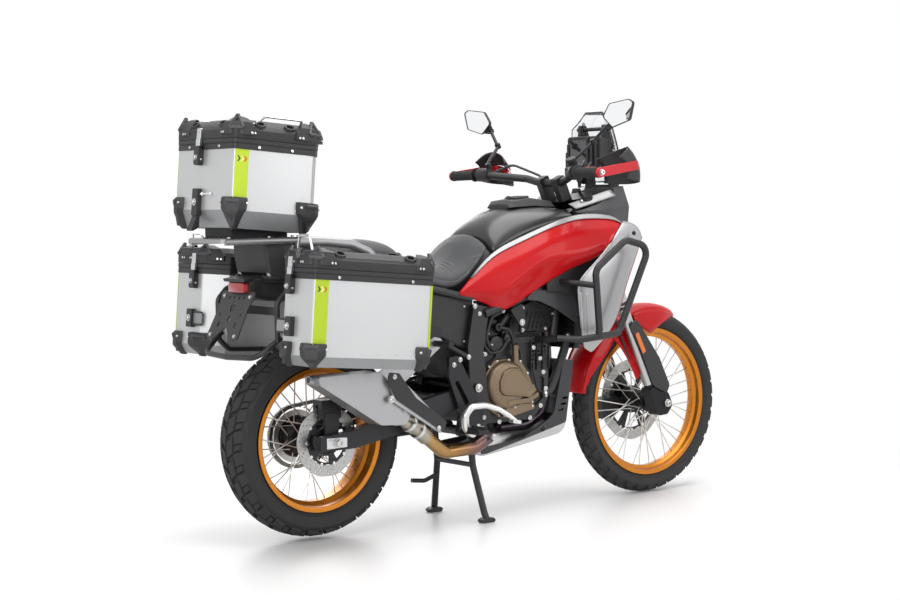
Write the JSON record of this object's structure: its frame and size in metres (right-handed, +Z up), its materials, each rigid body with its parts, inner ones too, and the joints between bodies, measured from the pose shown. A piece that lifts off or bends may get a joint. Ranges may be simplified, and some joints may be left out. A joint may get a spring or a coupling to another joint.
{
  "type": "adventure motorcycle",
  "caption": "Adventure motorcycle parked on its centre stand, with turning front fork, wire-spoked wheels, crash bars, two side cases and a top case with hinged lids.",
  "frame": {"origin": "on the floor, at the middle of the footprint", "axes": "+X forward, +Y to the rider's left, +Z up"},
  "size_m": [2.2731, 0.951, 1.4743],
  "materials": {
    "black_steel": "satin black",
    "black_alloy": "black anodised",
    "bronze_alloy": "bronze anodised",
    "engine_alloy": "black powder coat",
    "silver_alloy": "brushed",
    "gold_alloy": "gold anodised",
    "steel": "brushed",
    "heat_steel": "heat tinted",
    "muffler_silver": "satin silver",
    "red_plastic": "gloss red",
    "silver_plastic": "satin silver",
    "black_plastic": "matte black",
    "grey_plastic": "satin grey",
    "seat_cover": "matte black vinyl",
    "tyre": "black rubber",
    "clear": "clear",
    "lamp_red": "dark red lens",
    "disc_steel": "ground"
  },
  "bodies": {
    "chassis": {"frame": "black_steel", "subframe": "black_steel", "engine": "engine_alloy", "engine_covers": "bronze_alloy", "cylinders": "engine_alloy", "radiator": "black_alloy", "exhaust_pipes": "heat_steel", "muffler": "muffler_silver", "skid_plate": "silver_alloy", "tank": "red_plastic", "tank_cover": "black_plastic", "rider_seat": "seat_cover", "pillion_seat": "seat_cover", "tail": "black_plastic", "tail_light": "lamp_red", "plate_bracket": "black_steel", "rear_rack": "muffler_silver", "pannier_racks": "black_steel", "pannier_left": "silver_alloy", "pannier_right": "silver_alloy", "top_case": "silver_alloy", "shrouds": "silver_plastic", "crash_bars": "black_steel", "footpegs": "black_alloy", "foot_controls": "silver_alloy", "upper_fairing": "black_plastic", "headlight": "clear", "cockpit": "black_plastic", "windscreen": "clear", "swingarm": "black_alloy", "shock": "black_steel", "chain": "steel", "rear_caliper": "black_alloy"},
    "steering": {"fork": "silver_alloy", "fork_guards": "grey_plastic", "mudguard": "red_plastic", "front_caliper": "black_alloy", "handlebar": "black_alloy", "handguards": "black_plastic", "mirrors": "black_plastic"},
    "front_wheel": {"front_rim": "gold_alloy", "front_tyre": "tyre", "front_hub": "black_alloy", "front_disc": "disc_steel"},
    "rear_wheel": {"rear_rim": "gold_alloy", "rear_tyre": "tyre", "rear_hub": "black_alloy", "rear_disc": "disc_steel"},
    "centre_stand": {"centre_stand": "black_steel"},
    "side_stand": {"side_stand": "black_steel"},
    "top_case_lid": {"top_case_lid": "black_plastic"},
    "pannier_lid_left": {"pannier_lid_left": "black_plastic"},
    "pannier_lid_right": {"pannier_lid_right": "black_plastic"}
  },
  "joints": [
    {"name": "steering", "type": "hinge", "parent": "chassis", "child": "steering", "pos_m": [0.41571, 0, 1.02264], "axis": [-0.4067, 0, 0.9135], "range_deg": [-35, 35]},
    {"name": "front_wheel_spin", "type": "hinge", "parent": "steering", "child": "front_wheel", "pos_m": [0.7835, 0, 0.349], "axis": [0, 1, 0], "continuous": true},
    {"name": "rear_wheel_spin", "type": "hinge", "parent": "chassis", "child": "rear_wheel", "pos_m": [-0.7365, 0, 0.338], "axis": [0, 1, 0], "continuous": true},
    {"name": "centre_stand_fold", "type": "hinge", "parent": "chassis", "child": "centre_stand", "pos_m": [-0.1405, 0, 0.318], "axis": [0, 1, 0], "range_deg": [0, 74]},
    {"name": "side_stand_swing", "type": "hinge", "parent": "chassis", "child": "side_stand", "pos_m": [-0.0465, 0.168, 0.3], "axis": [0, -0.9659, -0.2588], "range_deg": [0, 104]},
    {"name": "top_case_lid_hinge", "type": "hinge", "parent": "chassis", "child": "top_case_lid", "pos_m": [-0.77711, 0, 1.30964], "axis": [0, 1, 0], "range_deg": [0, 95]},
    {"name": "pannier_lid_left_hinge", "type": "hinge", "parent": "chassis", "child": "pannier_lid_left", "pos_m": [-0.52043, 0.316, 0.88821], "axis": [0, 1, 0], "range_deg": [0, 95]},
    {"name": "pannier_lid_right_hinge", "type": "hinge", "parent": "chassis", "child": "pannier_lid_right", "pos_m": [-0.52043, -0.316, 0.88821], "axis": [0, 1, 0], "range_deg": [0, 95]}
  ]
}
